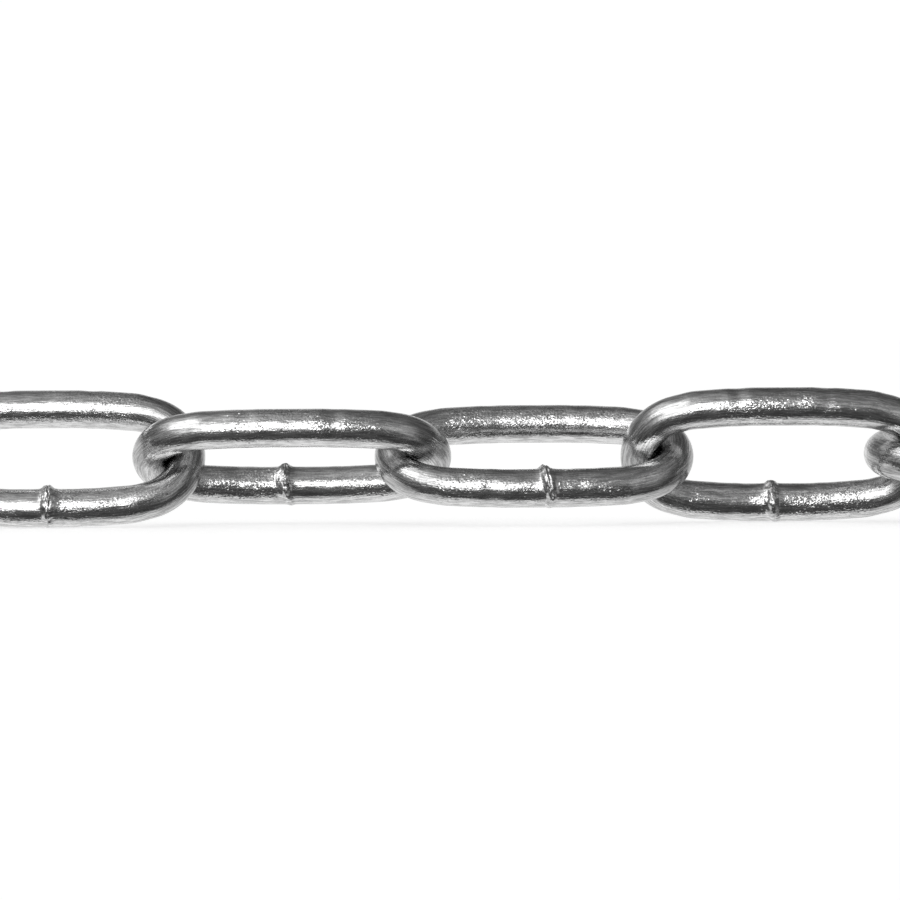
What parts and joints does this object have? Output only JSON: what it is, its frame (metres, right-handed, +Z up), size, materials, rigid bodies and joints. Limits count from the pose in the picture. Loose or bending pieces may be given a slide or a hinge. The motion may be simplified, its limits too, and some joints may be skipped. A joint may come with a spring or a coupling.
{
  "type": "welded long-link steel chain",
  "caption": "Straight length of welded long-link chain in bright zinc-plated round steel wire, each link a long ring hinged in the next.",
  "frame": {"origin": "on the floor under the middle of the chain's length, at the bottom centre of its box", "axes": "+X along the straight chain to its right end as pictured, +Z up, -Y towards the camera"},
  "size_m": [0.9928, 0.0313, 0.0283],
  "materials": {
    "zinc_plated_steel": "bright zinc plating over drawn round wire, finely speckled, with a raised butt-weld bead on each link"
  },
  "bodies": {
    "link_01": {"link_01": "zinc_plated_steel"},
    "link_02": {"link_02": "zinc_plated_steel"},
    "link_03": {"link_03": "zinc_plated_steel"},
    "link_04": {"link_04": "zinc_plated_steel"},
    "link_05": {"link_05": "zinc_plated_steel"},
    "link_06": {"link_06": "zinc_plated_steel"},
    "link_07": {"link_07": "zinc_plated_steel"},
    "link_08": {"link_08": "zinc_plated_steel"},
    "link_09": {"link_09": "zinc_plated_steel"},
    "link_10": {"link_10": "zinc_plated_steel"},
    "link_11": {"link_11": "zinc_plated_steel"},
    "link_12": {"link_12": "zinc_plated_steel"},
    "link_13": {"link_13": "zinc_plated_steel"},
    "link_14": {"link_14": "zinc_plated_steel"},
    "link_15": {"link_15": "zinc_plated_steel"},
    "link_16": {"link_16": "zinc_plated_steel"},
    "link_17": {"link_17": "zinc_plated_steel"},
    "link_18": {"link_18": "zinc_plated_steel"},
    "link_19": {"link_19": "zinc_plated_steel"}
  },
  "joints": [
    {"name": "hinge_01_02", "type": "hinge", "parent": "link_02", "child": "link_01", "pos_m": [-0.44099, 0, 0.01415], "axis": [0, 0.5075, 0.8616], "range_deg": [-90, 90]},
    {"name": "hinge_02_03", "type": "hinge", "parent": "link_03", "child": "link_02", "pos_m": [-0.38939, 0, 0.01415], "axis": [0, -0.8572, 0.515], "range_deg": [-90, 90]},
    {"name": "hinge_03_04", "type": "hinge", "parent": "link_04", "child": "link_03", "pos_m": [-0.33859, 0, 0.01415], "axis": [0, -0.6884, -0.7254], "range_deg": [-90, 90]},
    {"name": "hinge_04_05", "type": "hinge", "parent": "link_05", "child": "link_04", "pos_m": [-0.287, 0, 0.01415], "axis": [0, 0.5373, -0.8434], "range_deg": [-90, 90]},
    {"name": "hinge_05_06", "type": "hinge", "parent": "link_06", "child": "link_05", "pos_m": [-0.2354, 0, 0.01415], "axis": [0, 0.8526, 0.5225], "range_deg": [-90, 90]},
    {"name": "hinge_06_07", "type": "hinge", "parent": "link_07", "child": "link_06", "pos_m": [-0.18396, 0, 0.01415], "axis": [0, -0.6088, 0.7934], "range_deg": [-90, 90]},
    {"name": "hinge_07_08", "type": "hinge", "parent": "link_08", "child": "link_07", "pos_m": [-0.13268, 0, 0.01415], "axis": [0, -0.6293, -0.7771], "range_deg": [-90, 90]},
    {"name": "hinge_08_09", "type": "hinge", "parent": "link_09", "child": "link_08", "pos_m": [-0.08109, 0, 0.01415], "axis": [0, 0.8526, -0.5225], "range_deg": [-90, 90]},
    {"name": "hinge_09_10", "type": "hinge", "parent": "link_10", "child": "link_09", "pos_m": [-0.03029, 0, 0.01415], "axis": [0, 0.7009, 0.7133], "range_deg": [-90, 90]},
    {"name": "hinge_10_11", "type": "hinge", "parent": "link_10", "child": "link_11", "pos_m": [0.02971, 0, 0.01415], "axis": [0, 0.848, 0.5299], "range_deg": [-90, 90]},
    {"name": "hinge_11_12", "type": "hinge", "parent": "link_11", "child": "link_12", "pos_m": [0.08131, 0, 0.01415], "axis": [0, 0.3584, -0.9336], "range_deg": [-90, 90]},
    {"name": "hinge_12_13", "type": "hinge", "parent": "link_12", "child": "link_13", "pos_m": [0.1324, 0, 0.01415], "axis": [0, -0.9336, -0.3584], "range_deg": [-90, 90]},
    {"name": "hinge_13_14", "type": "hinge", "parent": "link_13", "child": "link_14", "pos_m": [0.18348, 0, 0.01415], "axis": [0, -0.5225, 0.8526], "range_deg": [-90, 90]},
    {"name": "hinge_14_15", "type": "hinge", "parent": "link_14", "child": "link_15", "pos_m": [0.23508, 0, 0.01415], "axis": [0, 0.7934, 0.6088], "range_deg": [-90, 90]},
    {"name": "hinge_15_16", "type": "hinge", "parent": "link_15", "child": "link_16", "pos_m": [0.28653, 0, 0.01415], "axis": [0, 0.7771, -0.6293], "range_deg": [-90, 90]},
    {"name": "hinge_16_17", "type": "hinge", "parent": "link_16", "child": "link_17", "pos_m": [0.3378, 0, 0.01415], "axis": [0, -0.5299, -0.848], "range_deg": [-90, 90]},
    {"name": "hinge_17_18", "type": "hinge", "parent": "link_17", "child": "link_18", "pos_m": [0.38939, 0, 0.01415], "axis": [0, -0.848, 0.5299], "range_deg": [-90, 90]},
    {"name": "hinge_18_19", "type": "hinge", "parent": "link_18", "child": "link_19", "pos_m": [0.44099, 0, 0.01415], "axis": [0, 0.5075, 0.8616], "range_deg": [-90, 90]}
  ]
}
